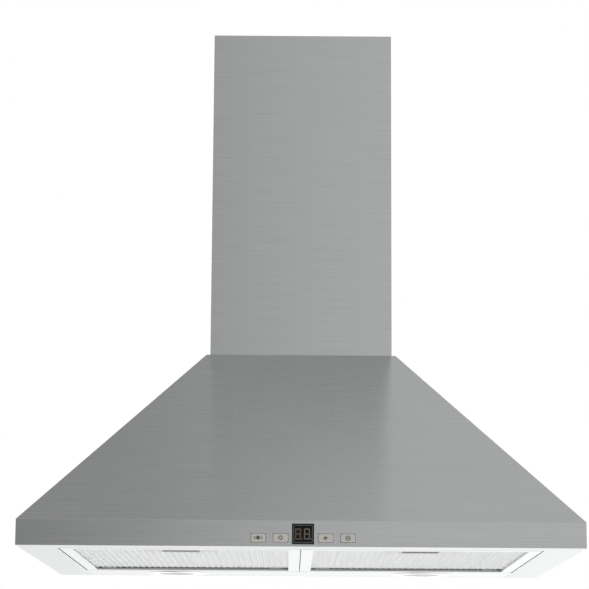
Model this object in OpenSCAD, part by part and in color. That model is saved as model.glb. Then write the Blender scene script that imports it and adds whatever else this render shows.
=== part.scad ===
// Wall-mounted chimney range hood: a sheet-steel canopy with two grease filters, two lamps,
// a key panel, a blower in the roof of the canopy and a telescopic chimney.
// X runs left to right seen from the front, Y runs from the room (-) to the wall (0), Z is up.
// The wall plane is y = 0 and the underside of the canopy is z = 0.

/* [Canopy] */
// Width of the canopy
hood_w = 600; // [560:10:900]
// Depth of the canopy, front to wall
hood_d = 480; // [450:10:600]
// Height of the upright band round the foot of the canopy
band_h = 27.5; // [27:0.5:60]
// Height of the sloping part above the band
canopy_rise = 218.5; // [190:0.5:320]
// Thickness of the steel sheet
sheet = 1; // [0.8:0.1:1.5]
// Width of the bottom return lips
lip_w = 40; // [30:1:60]
// Height of the fold along the inner edge of each lip
fold_h = 13; // [12:1:16]

/* [Chimney] */
// Width of the lower chimney cover
chimney_w = 215; // [205:5:300]
// Depth of the lower chimney cover
chimney_d = 215; // [205:5:300]
// Height of the lower chimney cover
lower_chimney_h = 395; // [300:5:600]
// Height of the upper chimney cover
upper_chimney_h = 348; // [200:2:500]
// Ledge of canopy that shows round the foot of the chimney
chimney_ledge = 4.3; // [2:0.1:12]

/* [Filters] */
// Width of the bars of a filter frame
filter_bar = 13; // [10:0.5:18]
// Thickness of a filter
filter_t = 9; // [8:0.5:12]
// Gap between a filter and the lips beside it
filter_gap = 2; // [1:0.1:3]
// Gap between the two filters
centre_gap = 0.8; // [0.6:0.1:2]
// Distance between the ribs of the filter face
rib_pitch = 7; // [5:0.5:12]
// Width of the latch housing
latch_w = 79; // [60:1:100]
// Travel of the latch bolt
latch_travel = 6; // [4:0.5:7]

/* [Lamps] */
// Depth of the rear panel that holds the lamps
lamp_panel_d = 86; // [85:1:140]
// Distance of each lamp from the centre line
lamp_x = 151; // [110:1:200]
// Distance of the lamps from the wall
lamp_y = 45; // [44:1:46]
// Outer diameter of a lamp ring
lamp_ring_d = 70; // [60:1:76]
// Gap between the lamp panel and the lips beside it
lamp_panel_gap = 0.7; // [0.4:0.1:2]

/* [Keys and display] */
// Sideways place of the middle of the key panel
panel_x = 2; // [-20:1:20]
// Distance between neighbouring keys
key_pitch = 23.6; // [22:0.1:32]
// Width of a key
key_w = 15.4; // [12:0.1:18]
// Height of a key
key_h = 8.6; // [6:0.1:12]
// Height of the middle of the keys above the underside
key_z = 9.1; // [8:0.1:14]
// How far a key stands out of the band
key_proud = 1.8; // [1:0.1:3]
// Travel of a key
key_travel = 1.2; // [0.6:0.1:1.5]
// Width of the display frame
display_w = 23.3; // [20:0.1:28]
// Height of the display frame
display_h = 21.7; // [18:0.1:23]

/* [Blower] */
// Outer diameter of the duct collar
duct_d = 150; // [120:5:160]
// Height of the duct collar above the canopy
collar_h = 54; // [45:1:70]
// Outer diameter of the fan wheel
fan_d = 144; // [120:2:150]
// Width of the scroll housing
scroll_w = 124; // [110:2:140]
// Number of blades in each half of the fan wheel
fan_blades = 26; // [16:1:36]
// Diameter of the motor
motor_d = 80; // [60:2:90]

/* [Fixings] */
// Diameter of the holes for the wall screws
wall_hole_d = 8; // [6:0.5:10]
// Sideways spacing of the wall screws
wall_hole_dx = 260; // [200:10:300]
// Upright spacing of the wall screws
wall_hole_dz = 100; // [80:10:120]
// Height of the lower wall screws
wall_hole_z = 75; // [60:5:90]

/* [Hidden] */
$fn = 48;
tiny = 0.01;
fit = 0.4;               // clearance between fixed pieces that slot together
touch = 0.05;            // hairline between faces that lie on each other
flange_w = 12;           // width of the folded fixing flanges
screw_r = 1.8;           // screw shank
screw_hole_r = 2;        // hole for a screw shank
head_r = 3.6;            // screw head
head_h = 2;

// Canopy
roof_z = band_h + canopy_rise;
top_w = chimney_w + 2 * chimney_ledge;
top_d = chimney_d + chimney_ledge;
side_angle = atan2(canopy_rise, (hood_w - top_w) / 2);
front_angle = atan2(canopy_rise, hood_d - top_d);
mouth_w = hood_w - 2 * lip_w;
mouth_front = hood_d - lip_w;
upstand_x = chimney_w / 2 - sheet - fit;
upstand_y = chimney_d - sheet - fit;
upstand_h = 8;
rivet_low_z = band_h / 2;
rivet_high_z = band_h + 0.75 * canopy_rise;

// Chimney
slide_gap = 1.2;
upper_w = chimney_w - 2 * (sheet + slide_gap);
upper_front = chimney_d - sheet - slide_gap;
upper_rear = sheet + slide_gap;
lower_top = roof_z + lower_chimney_h;
upper_top = lower_top - 1;
upper_foot = upper_top - upper_chimney_h;
cover_flange = 15;
bracket_t = 1.5;
bracket_step = 4;        // how far the ends of a wall bracket stand off the wall
bracket_h = 24;
lower_bracket_z = roof_z + upstand_h + 4;
upper_bracket_z = upper_top - bracket_h - 6;
bracket_screw_y = 20;
vent_slots = 9;
vent_slot_w = 4;
vent_slot_h = 26;
vent_pitch = 10;
pad_r = 8;
pad_t = 0.8;

// Filters
filter_w = (mouth_w - 2 * filter_gap - centre_gap) / 2;
filter_cx = (centre_gap + filter_w) / 2;
filter_front = mouth_front - filter_gap;
filter_rear = lamp_panel_d + filter_gap;
filter_d = filter_front - filter_rear;
hinge_y = lamp_panel_d + 5.6;
hinge_z = filter_t - 3;
pin_r = 1.5;
pin_clear = 0.08;
ear_x = 100;
ear_r = 3;
ear_t = 2;
ear_gap = 0.6;
hinge_block_w = 14;
lower_flange_t = 2.3;
upper_flange_t = 1;
frame_wall = 1;
rib_h = 0.9;
grille_t = 0.6;
media_layers = 3;
media_t = 0.3;
media_pitch = 1.3;
latch_face_d = 25;        // depth of the latch plate beside the finger slot
latch_rim_d = 38;         // and behind it
latch_z = 0;
latch_t = 0.8;
finger_plate_t = 0.7;
bolt_w = 36;
bolt_z = 4;
bolt_t = 1.6;
bolt_clear = 0.4;
finger_w = 39.6;
finger_d = 27;

// Lamps
panel_fold_y = lamp_panel_d - 4;
lens_r = lamp_ring_d / 2 - 13;
ring_depth = 1;
ring_round = 0.8;
lens_dome = 0.5;
barrel_r = lens_r + 4.5;
can_r = barrel_r - 2;
can_h = 42;

// Keys and display
display_z = band_h / 2 - 0.4;
key_places = [-2, -1, 1, 2];
key_clear = 0.3;
key_flange_y = hood_d - sheet - 0.3;
key_flange_t = 1.2;
carrier_wall_y = key_flange_y - key_flange_t - key_travel - 0.3;
carrier_wall_t = 1.2;
stem_r = 1.8;
stem_end_y = carrier_wall_y - carrier_wall_t - 0.6;
plunger_y = stem_end_y - key_travel - 0.3;
switch_t = 1.8;
board_t = 1.6;
board_y = plunger_y - 0.5 - switch_t;
carrier_back_y = board_y - board_t - 2.4;
carrier_w = 4 * key_pitch + key_w + 22;
carrier_low = sheet + 0.4;
carrier_high = band_h - 1;
bezel_w = 1.6;
bezel_proud = 0.8;
digit_w = 6.2;
digit_h = 11.6;
digit_pitch = 9.4;
stroke = 1.15;
stroke_t = 0.2;

// Blower
plate_t = 1.5;
top_plate_z = roof_z - sheet - plate_t - touch;
duct_y = chimney_d / 2;
duct_r = duct_d / 2;
duct_wall = 2;
collar_flange_t = 2.4;
collar_z = top_plate_z + plate_t + touch;
damper_z = collar_z + 27;
damper_t = 1.2;
damper_r = duct_r - duct_wall - 1.2;
seat_t = 1.4;
seat_gap = 0.3;
rod_r = 1.5;
knuckle_r = 3;
knuckle_len = (damper_r - 11.8) / 2;
scroll_t = 1.2;
scroll_r0 = fan_d / 2 + 8;
scroll_r1 = scroll_r0 + 23;
blower_y = duct_y + scroll_r1 / 2 - 6;
blower_z = 126;
outlet_z = top_plate_z - touch;
outlet_flange = 8;
// The outlet screws stand beside the scroll, and always outside the collar tube
screw_depth = blower_y - 3 - duct_y;
screw_clear_r = duct_r + screw_hole_r + 1.4;
screw_side = max(scroll_w / 2 + outlet_flange / 2,
                 sqrt(max(0, pow(screw_clear_r, 2) - pow(screw_depth, 2))));
screw_reach = norm([screw_side, screw_depth]);
collar_flange_r = screw_reach + 9.5;
collar_foot = collar_flange_t + touch;
inlet_r = fan_d / 2 - 14;
wheel_half = scroll_w / 2 - 8;
blade_in_r = fan_d / 2 - 12;
blade_sweep = 13;
shaft_r = 4;
motor_near = -scroll_w / 2 - 3 - touch;
motor_far = -6;
bearing_r = 11;
bearing_w = 7;
grommet_r = 5;
bracket_off = 3.1;        // stand-off of the motor bracket from the side of the scroll
bracket_plate = 2.5;

// Wiring boxes
box_x = wall_hole_dx / 2 + 12;
box_w = 62;
box_low = 62;
box_high = 118;
box_depth = 40;
box_wall = 2;
lid_t = 2;
gland_x = box_x + box_w / 2;
gland_y = 20;
gland_r = 6;
capacitor_x = -wall_hole_dx / 2 - 34;
capacitor_r = 16;
capacitor_h = 52;

// ---------- shared shapes ----------

// Convex outline of the canopy, shrunk by inset on its outer faces
module canopy_body(inset, back, floor_z, top_z) {
    bend_z = band_h - inset * (1 - sin(front_angle)) / cos(front_angle);
    half_w = hood_w / 2 - inset;
    depth = hood_d - inset;
    half_top = top_w / 2 - inset / sin(side_angle) + (roof_z - top_z) / tan(side_angle);
    top_depth = top_d - inset / sin(front_angle) + (roof_z - top_z) / tan(front_angle);
    hull() {
        translate([-half_w, -depth, floor_z]) cube([2 * half_w, depth + back, bend_z - floor_z]);
        translate([-half_top, -top_depth, top_z - tiny]) cube([2 * half_top, top_depth + back, tiny]);
    }
}

// Half width of the canopy at height z
function half_width_at(z) = hood_w / 2 - max(0, z - band_h) / tan(side_angle);

// Block given by its two corners
module block(low, high) {
    translate(low) cube(high - low);
}

module along_x(x, y, z) {
    translate([x, y, z]) rotate([0, 90, 0]) children();
}

// Pan-head screw whose head sits on z = 0 and whose shank points down
module screw(length) {
    cylinder(r = head_r, h = head_h);
    translate([0, 0, -length]) cylinder(r = screw_r, h = length + tiny);
}

// Folded cover with a front, two sides and two rear flanges
module u_cover(w, front, rear, foot, height) {
    difference() {
        block([-w / 2, -front, foot], [w / 2, -rear, foot + height]);
        block([-w / 2 + sheet, -front + sheet, foot - 1], [w / 2 - sheet, -rear - sheet, foot + height + 1]);
        block([-w / 2 + cover_flange, -rear - 2 * sheet, foot - 1],
              [w / 2 - cover_flange, -rear + 1, foot + height + 1]);
    }
}

// Stepped wall bracket whose ends carry an ear against each side of a cover
module wall_bracket(ear_x, z) {
    flat_x = ear_x - cover_flange - 4;
    difference() {
        union() {
            block([-flat_x, -bracket_t, z], [flat_x, 0, z + bracket_h]);
            for (s = [-1, 1]) scale_x(s) {
                block([flat_x - bracket_t, -bracket_step - bracket_t, z], [flat_x, 0, z + bracket_h]);
                block([flat_x - bracket_t, -bracket_step - bracket_t, z],
                      [ear_x, -bracket_step, z + bracket_h]);
                block([ear_x - bracket_t, -bracket_screw_y - 9, z], [ear_x, -bracket_step, z + bracket_h]);
            }
        }
        for (s = [-1, 1]) {
            translate([s * 60, 1, z + bracket_h / 2]) rotate([90, 0, 0]) cylinder(d = 6, h = bracket_t + 2);
            along_x(s * ear_x - 5, -bracket_screw_y, z + bracket_h / 2) cylinder(r = screw_hole_r, h = 10);
        }
    }
}

// Mirror to the left side when s is -1
module scale_x(s) {
    if (s < 0) mirror([1, 0, 0]) children();
    else children();
}

// Place children about x = cx, turned over to the left side when s is -1
module scale_about(cx, s) {
    translate([cx, 0, 0]) scale_x(s) children();
}

// ---------- canopy ----------

module key_and_display_cuts() {
    for (k = key_places)
        block([panel_x + k * key_pitch - key_w / 2 - key_clear, -hood_d - 1, key_z - key_h / 2 - key_clear],
              [panel_x + k * key_pitch + key_w / 2 + key_clear, -hood_d + sheet + 1,
               key_z + key_h / 2 + key_clear]);
    block([panel_x - display_w / 2 + 0.6, -hood_d - 1, display_z - display_h / 2 + 0.6],
          [panel_x + display_w / 2 - 0.6, -hood_d + sheet + 1, display_z + display_h / 2 - 0.6]);
}

module lip_folds() {
    block([-mouth_w / 2 - sheet, -mouth_front - sheet, 0], [mouth_w / 2 + sheet, -mouth_front, fold_h]);
    for (s = [-1, 1]) scale_x(s)
        block([mouth_w / 2, -mouth_front - sheet, 0], [mouth_w / 2 + sheet, -sheet, fold_h]);
}

module top_upstand() {
    difference() {
        block([-upstand_x, -upstand_y, roof_z - sheet], [upstand_x, -sheet, roof_z + upstand_h]);
        block([-upstand_x + sheet, -upstand_y + sheet, roof_z - sheet - 1],
              [upstand_x - sheet, 1, roof_z + upstand_h + 1]);
    }
}

module rear_flanges() {
    difference() {
        intersection() {
            canopy_body(0, -sheet, 0, roof_z);
            block([-hood_w, -2 * sheet, 0], [hood_w, -sheet, roof_z]);
        }
        canopy_body(flange_w, 1, -1, roof_z + 1);
    }
}

module rivet_places(y) {
    for (s = [-1, 1], z = [rivet_low_z, rivet_high_z])
        translate([s * (half_width_at(z) - flange_w / 2 - 1.5), y, z]) rotate([90, 0, 0]) children();
}

module canopy_shell() {
    color("#a0a4a4") difference() {
        union() {
            difference() {
                canopy_body(0, -sheet, 0, roof_z);
                canopy_body(sheet, 1, sheet, roof_z - sheet);
                block([-mouth_w / 2, -mouth_front, -1], [mouth_w / 2, 1, sheet + 1]);
                block([-upstand_x + sheet, -upstand_y + sheet, roof_z - sheet - 1],
                      [upstand_x - sheet, 1, roof_z + 1]);
            }
            lip_folds();
            top_upstand();
            rear_flanges();
        }
        key_and_display_cuts();
        rivet_places(0) cylinder(r = screw_hole_r, h = 4 * sheet);
        for (s = [-1, 1])
            block([s * filter_cx - bolt_w / 2 - 1, -mouth_front - sheet - 1, bolt_z - 0.6],
                  [s * filter_cx + bolt_w / 2 + 1, -mouth_front + 1, bolt_z + bolt_t + 0.6]);
    }
}

module back_plate() {
    color("#8d9193") difference() {
        union() {
            intersection() {
                canopy_body(0, 0, 0, roof_z);
                block([-hood_w, -sheet, 0], [hood_w, 0, roof_z]);
            }
            block([-mouth_w / 2 + 10, -flange_w - sheet, sheet + 0.2],
                  [mouth_w / 2 - 10, 0, 2 * sheet + 0.2]);
        }
        for (s = [-1, 1], z = [wall_hole_z, wall_hole_z + wall_hole_dz])
            translate([s * wall_hole_dx / 2, 1, z]) rotate([90, 0, 0])
                cylinder(d = wall_hole_d, h = sheet + 2);
        rivet_places(1) cylinder(r = screw_hole_r, h = 4 * sheet);
        lamp_panel_screw_places() cylinder(r = screw_hole_r, h = 10);
    }
}

module back_plate_rivets() {
    color("silver") rivet_places(-touch) {
        cylinder(r = screw_r, h = 2 * sheet + 1);
        translate([0, 0, 2 * sheet]) cylinder(r = head_r, h = 1.4);
    }
}

// ---------- lamp panel ----------

module lamp_panel_screw_places() {
    for (k = [-1, 0, 1])
        translate([k * (mouth_w / 2 - 50), -flange_w / 2 - sheet, 0]) children();
}

// Cranked ears that reach over the rear bar of a filter and down to its hinge pins
module hinge_ears(cx) {
    for (s = [-1, 1]) {
        x = cx + s * ear_x - ear_t / 2;
        along_x(x, -hinge_y, hinge_z) cylinder(r = ear_r, h = ear_t);
        block([x, -hinge_y - ear_r, hinge_z], [x + ear_t, -hinge_y + ear_r, fold_h]);
        block([x, -hinge_y - ear_r, filter_t + ear_gap], [x + ear_t, -panel_fold_y + sheet, fold_h]);
    }
}

module lamp_panel() {
    half_w = mouth_w / 2 - lamp_panel_gap;
    color("#b9bcbc") difference() {
        union() {
            block([-half_w, -lamp_panel_d, 0], [half_w, -sheet - 0.5, sheet]);
            block([-half_w, -panel_fold_y, 0], [half_w, -panel_fold_y + sheet, fold_h]);
            for (s = [-1, 1]) {
                scale_x(s)
                    block([half_w - sheet, -panel_fold_y, 0], [half_w, -flange_w - 2 * sheet, fold_h - 2]);
                hinge_ears(s * filter_cx);
            }
            lamp_panel_screw_places() cylinder(r = screw_r, h = 2 * sheet + 5);
        }
        for (s = [-1, 1]) {
            translate([s * lamp_x, -lamp_y, -1]) cylinder(r = barrel_r + 0.5, h = sheet + 2);
            for (e = [-1, 1])
                along_x(s * filter_cx + e * ear_x - 6, -hinge_y, hinge_z)
                    cylinder(r = pin_r + pin_clear, h = 12);
        }
    }
}

// Nuts on the studs that hold the lamp panel up against the foot of the back plate
module lamp_panel_nuts() {
    color("silver") lamp_panel_screw_places() translate([0, 0, 2 * sheet + 0.2 + touch]) difference() {
        cylinder(r = head_r, h = 2.4);
        translate([0, 0, -1]) cylinder(r = screw_r + touch, h = 5);
    }
}

module filter_rail() {
    half = 8;
    low = filter_t + 0.6;
    swing_r = norm([hinge_y - filter_rear, filter_t - hinge_z]) + 0.5;
    color("#9a9d9f") difference() {
        block([-half, -mouth_front + touch, low], [half, -panel_fold_y - touch, low + 9]);
        block([-half + sheet, -mouth_front, low - 1], [half - sheet, -panel_fold_y + 1, low + 9 - sheet]);
        block([-half - 1, -hinge_y - swing_r, low - 1], [half + 1, -panel_fold_y + 1, hinge_z + swing_r]);
    }
}

// ---------- filters ----------

module filter_frame(cx) {
    x0 = cx - filter_w / 2;
    x1 = cx + filter_w / 2;
    half_block = hinge_block_w / 2;
    half_notch = ear_t / 2 + ear_gap;
    color("#c9cccc") union() {
        difference() {
            block([x0, -filter_front, 0], [x1, -filter_rear, filter_t]);
            difference() {
                block([x0 + frame_wall, -filter_front + frame_wall, lower_flange_t],
                      [x1 - frame_wall, -filter_rear - frame_wall, filter_t - upper_flange_t]);
                for (s = [-1, 1])
                    block([cx + s * ear_x - half_block, -filter_rear - filter_bar + 0.5, 0],
                          [cx + s * ear_x + half_block, -filter_rear, filter_t]);
            }
            block([x0 + filter_bar, -filter_front + filter_bar, -1],
                  [x1 - filter_bar, -filter_rear - filter_bar, filter_t + 1]);
            for (s = [-1, 1])
                block([cx + s * ear_x - half_notch, -hinge_y - ear_r - ear_gap, lower_flange_t],
                      [cx + s * ear_x + half_notch, -filter_rear + 1, filter_t + 1]);
            block([cx - bolt_w / 2 - bolt_clear, -filter_front - 1, bolt_z - 0.3],
                  [cx + bolt_w / 2 + bolt_clear, -filter_front + frame_wall + 1, bolt_z + bolt_t + 0.3]);
        }
        for (s = [-1, 1])
            along_x(cx + s * ear_x - half_block / 2, -hinge_y, hinge_z)
                cylinder(r = pin_r, h = half_block);
    }
}

// Room for the latch in the layers behind the front bar
module latch_notch(cx) {
    block([cx - latch_w / 2 - 1, -filter_front, 0],
          [cx + latch_w / 2 + 1, -filter_front + filter_bar + latch_face_d + 1, filter_t]);
    block([cx - finger_w / 2 - 4, -filter_front, 0],
          [cx + finger_w / 2 + 4, -filter_front + filter_bar + latch_rim_d + 1, filter_t]);
}

module filter_media(cx) {
    inset = frame_wall + 0.2;
    rear = -filter_rear - filter_bar;
    low = lower_flange_t + rib_h + grille_t + 0.4;
    color("#b4b7b7") difference() {
        for (k = [0:media_layers - 1])
            block([cx - filter_w / 2 + inset, -filter_front + inset, low + k * media_pitch],
                  [cx + filter_w / 2 - inset, rear, low + k * media_pitch + media_t]);
        latch_notch(cx);
    }
}

module filter_grille(cx) {
    inset = frame_wall + 0.2;
    ribs = floor((filter_w - 2 * inset) / rib_pitch);
    left = -filter_w / 2 + inset;
    base = lower_flange_t + touch;
    start = left + (filter_w - 2 * inset - ribs * rib_pitch) / 2;
    outline = concat(
        [[left, base + rib_h + grille_t], [left, base + rib_h]],
        [for (k = [0:ribs - 1], p = [[0.3, rib_h], [0.5, 0], [0.7, rib_h]])
            [start + (k + p[0]) * rib_pitch, base + p[1]]],
        [[-left, base + rib_h], [-left, base + rib_h + grille_t]]
    );
    color("#d2d5d5") difference() {
        translate([cx, -filter_rear - filter_bar, 0]) rotate([90, 0, 0])
            linear_extrude(filter_d - filter_bar - inset) polygon(outline);
        latch_notch(cx);
    }
}

module latch_housing(cx) {
    face_y = -filter_front + filter_bar + 0.1;
    side_y = face_y + latch_face_d;
    back_y = face_y + latch_rim_d;
    half_rim = finger_w / 2 + 3;
    tie_z = lower_flange_t + touch;
    slot_y = face_y + 1.5;
    color("#e2e4e4") difference() {
        union() {
            block([cx - latch_w / 2, face_y, latch_z], [cx + latch_w / 2, side_y, latch_z + latch_t]);
            block([cx - half_rim, face_y, latch_z], [cx + half_rim, back_y, latch_z + latch_t]);
            block([cx - latch_w / 2, face_y, latch_z], [cx + latch_w / 2, face_y + 1, tie_z + 1]);
            block([cx - latch_w / 2, -filter_front + 2, tie_z], [cx + latch_w / 2, face_y + 1, tie_z + 1]);
            block([cx - half_rim, back_y - 1, latch_z], [cx + half_rim, back_y, bolt_z - 0.4]);
            for (s = [-1, 1]) scale_about(cx, s) {
                block([latch_w / 2 - 1, face_y, latch_z], [latch_w / 2, side_y, tie_z + 1]);
                block([half_rim, side_y - 1, latch_z], [latch_w / 2, side_y, tie_z + 1]);
                block([half_rim - 1, side_y - 1, latch_z], [half_rim, back_y, tie_z + 1]);
            }
        }
        block([cx - finger_w / 2, slot_y, 0],
              [cx + finger_w / 2, slot_y + finger_d, latch_z + latch_t + 0.1]);
    }
}

module latch_bolt(cx) {
    slot_y = -filter_front + filter_bar + 1.6;
    plate_z = latch_z + latch_t + 0.3;
    web_y = slot_y + finger_d - 4;
    color("#6f7376") union() {
        block([cx - bolt_w / 2, -filter_front - latch_travel, bolt_z],
              [cx + bolt_w / 2, web_y + 2, bolt_z + bolt_t]);
        block([cx - bolt_w / 2, web_y, plate_z], [cx + bolt_w / 2, web_y + 2, bolt_z + tiny]);
        block([cx - finger_w / 2 - 1, slot_y, plate_z],
              [cx + finger_w / 2 + 1, slot_y + finger_d + 0.8, plate_z + finger_plate_t]);
        block([cx - finger_w / 2 + 1, slot_y + 1, latch_z + 0.2],
              [cx + finger_w / 2 - 1, slot_y + 2.6, plate_z + tiny]);
    }
}

// ---------- lamps ----------

module at_lamp(s) {
    translate([s * lamp_x, -lamp_y, 0]) children();
}

module lamp_ring(s) {
    r = lamp_ring_d / 2;
    color("#d8dada") at_lamp(s) rotate_extrude() polygon(concat(
        [[lens_r + 0.3, -ring_depth], [lens_r + 0.3, -0.3], [lens_r - 1, -0.3], [lens_r - 1, 0.9],
         [barrel_r - 1.4, 0.9], [barrel_r - 1.4, 12], [barrel_r, 12], [barrel_r, -touch], [r, -touch]],
        [for (a = [0:15:90])
            [r + ring_round * (cos(a) - 1), -ring_depth + ring_round * (1 - sin(a))]]
    ));
}

module lamp_lens(s) {
    color("#f0f2f2") at_lamp(s) rotate_extrude() polygon(concat(
        [[0, -0.4], [lens_r, -0.4]],
        [for (k = [0:8]) [lens_r * (1 - k / 8), -0.9 - lens_dome * sin(90 * k / 8)]]
    ));
}

module lamp_cans() {
    color("#9ea1a3") for (s = [-1, 1]) at_lamp(s) difference() {
        translate([0, 0, 1.1]) cylinder(r = can_r, h = can_h);
        translate([0, 0, 0]) cylinder(r = can_r - 1, h = can_h - 0.4);
        translate([0, 0, can_h - 2]) cylinder(r = 7, h = 5);
    }
}

module lamp_bulbs() {
    color("#f4f1e4") for (s = [-1, 1]) at_lamp(s) {
        translate([0, 0, 14]) cylinder(r = 5.5, h = 18);
        translate([0, 0, 14]) sphere(r = 5.5);
        translate([0, 0, 31]) cylinder(r = 6.6, h = can_h - 26);
    }
}

// ---------- keys and display ----------

module key_cap(k) {
    x = panel_x + k * key_pitch;
    color("#d6d2c8") union() {
        block([x - key_w / 2, -hood_d - key_proud, key_z - key_h / 2],
              [x + key_w / 2, -key_flange_y + tiny, key_z + key_h / 2]);
        block([x - key_w / 2 - 0.9, -key_flange_y, key_z - key_h / 2 - 0.9],
              [x + key_w / 2 + 0.9, -key_flange_y + key_flange_t, key_z + key_h / 2 + 0.9]);
        translate([x, -key_flange_y, key_z]) rotate([-90, 0, 0])
            cylinder(r = stem_r, h = key_flange_y - stem_end_y);
    }
}

module display_bezel() {
    color("#17191b") difference() {
        union() {
            block([panel_x - display_w / 2, -hood_d - bezel_proud, display_z - display_h / 2],
                  [panel_x + display_w / 2, -hood_d - touch, display_z + display_h / 2]);
            block([panel_x - display_w / 2 + 0.8, -hood_d - touch - tiny, display_z - display_h / 2 + 0.8],
                  [panel_x + display_w / 2 - 0.8, -hood_d + 2, display_z + display_h / 2 - 0.8]);
        }
        block([panel_x - display_w / 2 + bezel_w, -hood_d - 2, display_z - display_h / 2 + bezel_w],
              [panel_x + display_w / 2 - bezel_w, -hood_d + 3, display_z + display_h / 2 - bezel_w]);
    }
}

module display_block(inset, y0, y1) {
    block([panel_x - display_w / 2 + inset, y0, display_z - display_h / 2 + inset],
          [panel_x + display_w / 2 - inset, y1, display_z + display_h / 2 - inset]);
}

module display_window() {
    color("#26292c", 0.5) display_block(bezel_w + 0.05, -hood_d - 0.4, -hood_d + 0.6);
}

module display_module() {
    color("#0f1011") display_block(bezel_w + 0.1, -hood_d + 1.2, -board_y - touch);
}

// One bar of a digit, from its middle
module bar(x, z, w, h) {
    block([x - w / 2, -hood_d + 1.2 - stroke_t, z - h / 2],
          [x + w / 2, -hood_d + 1.2 - touch / 2, z + h / 2]);
}

module display_digits() {
    low = -digit_h / 2 + stroke / 2;
    side = digit_w / 2 - stroke / 2;
    color("#b8a890") for (d = [-0.5, 0.5]) translate([panel_x + d * digit_pitch - 0.5, 0, display_z]) {
        for (z = [low, 0, -low]) bar(0, z, digit_w - 2 * stroke - 0.3, stroke);
        for (sx = [-1, 1], sz = [-1, 1])
            bar(sx * side, sz * digit_h / 4, stroke, digit_h / 2 - 0.3);
        bar(digit_w / 2 + 1.1, low, stroke, stroke);
    }
}

module control_board() {
    color("#2f6b45") difference() {
        block([panel_x - carrier_w / 2 + 2, -board_y, carrier_low + 2],
              [panel_x + carrier_w / 2 - 2, -board_y + board_t, carrier_high - 2]);
        stake_places() cylinder(r = screw_hole_r, h = 30, center = true);
    }
}

module key_switches() {
    color("#3a3d40") for (k = key_places) translate([panel_x + k * key_pitch, -board_y - touch, key_z])
        rotate([90, 0, 0]) {
            translate([-3, -3, 0]) cube([6, 6, switch_t]);
            translate([0, 0, switch_t - tiny]) cylinder(r = 1.6, h = 0.5);
        }
}

module stake_places() {
    for (s = [-1, 1])
        translate([panel_x + s * (carrier_w / 2 - 5), -board_y, display_z + 4])
            rotate([90, 0, 0])
                children();
}

module control_carrier() {
    x0 = panel_x - carrier_w / 2;
    x1 = panel_x + carrier_w / 2;
    floor_y = -carrier_wall_y + carrier_wall_t;
    color("#e6e6e2") union() {
        difference() {
            block([x0, -hood_d + sheet + touch, carrier_low], [x1, -carrier_back_y, carrier_high]);
            block([x0 + 1.2, -hood_d, carrier_low + 1.2], [x1 - 1.2, -carrier_wall_y, carrier_high - 1.2]);
            block([x0 + 1.2, floor_y, carrier_low + 1.2],
                  [x1 - 1.2, -carrier_back_y + 1, carrier_high - 1.2]);
            for (k = key_places)
                translate([panel_x + k * key_pitch, -hood_d, key_z]) rotate([-90, 0, 0])
                    cylinder(r = stem_r + 0.3, h = 12);
            display_block(0.8, -hood_d - 1, -board_y + 1);
        }
        stake_places() translate([0, 0, -board_t - 1])
            cylinder(r = screw_r, h = board_t + 1 - board_y - floor_y + tiny);
    }
}

// ---------- blower ----------

// Scroll outline in the plane across the fan axis, as [distance from the wall side, height]
function scroll_outline(inset) = concat(
    [for (a = [0:15:270])
        let (r = scroll_r0 + (scroll_r1 - scroll_r0) * a / 270 - inset)
        [-r * sin(a), r * cos(a)]],
    [[scroll_r1 - inset, outlet_z - blower_z], [inset, outlet_z - blower_z]]
);

module scroll_prism(inset, x0, x1) {
    translate([x0, -blower_y, blower_z]) rotate([90, 0, 90])
        linear_extrude(x1 - x0) polygon(scroll_outline(inset));
}

module outlet_flange_block(s) {
    edge = screw_side + outlet_flange / 2;
    block([s < 0 ? -edge : touch, -blower_y - outlet_flange, outlet_z - 1.5],
          [s < 0 ? -touch : edge, -blower_y + scroll_r1 + outlet_flange, outlet_z]);
}

module scroll_half(s) {
    half = scroll_w / 2;
    color("#a9adae") difference() {
        union() {
            scroll_prism(0, s < 0 ? -half : touch, s < 0 ? -touch : half);
            scroll_prism(-4, s < 0 ? -1.6 : touch, s < 0 ? -touch : 1.6);
            outlet_flange_block(s);
            along_x(s < 0 ? -half - 3 : half - tiny, -blower_y, blower_z) cylinder(r = inlet_r + 3, h = 3);
        }
        intersection() {
            scroll_prism(scroll_t, s < 0 ? -half + scroll_t : -1, s < 0 ? 1 : half - scroll_t);
            block([-half, -hood_d, 0], [half, 0, outlet_z - tiny]);
        }
        block([s < 0 ? -half + scroll_t : -1, -blower_y + scroll_t, outlet_z - 5],
              [s < 0 ? 1 : half - scroll_t, -blower_y + scroll_r1 - scroll_t, outlet_z + 1]);
        block([-hood_w, -hood_d, outlet_z], [hood_w, 0, outlet_z + 10]);
        along_x(s < 0 ? -half - 10 : half - 10, -blower_y, blower_z) cylinder(r = inlet_r, h = 20);
        blower_screw_places() cylinder(r = screw_hole_r, h = 60, center = true);
        motor_arm_places() cylinder(r = screw_hole_r, h = 30, center = true);
    }
}

module blower_screw_places() {
    for (s = [-1, 1], y = [-blower_y + 3, -blower_y + scroll_r1 - 10])
        translate([s * screw_side, y, outlet_z]) children();
}

module top_plate() {
    color("#9fa2a4") difference() {
        block([-upstand_x - 4, -upstand_y - 4, top_plate_z],
              [upstand_x + 4, -2 * sheet - touch, top_plate_z + plate_t]);
        translate([0, -duct_y, top_plate_z - 1]) cylinder(r = duct_r - duct_wall, h = plate_t + 2);
        blower_screw_places() cylinder(r = screw_hole_r, h = 60, center = true);
    }
}

module blower_screws() {
    color("silver") {
        blower_screw_places() translate([0, 0, -1.5 - touch]) mirror([0, 0, 1]) screw(4);
        motor_arm_places() translate([0, 0, -bracket_off - bracket_plate - touch])
            mirror([0, 0, 1]) screw(8);
    }
}

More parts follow.
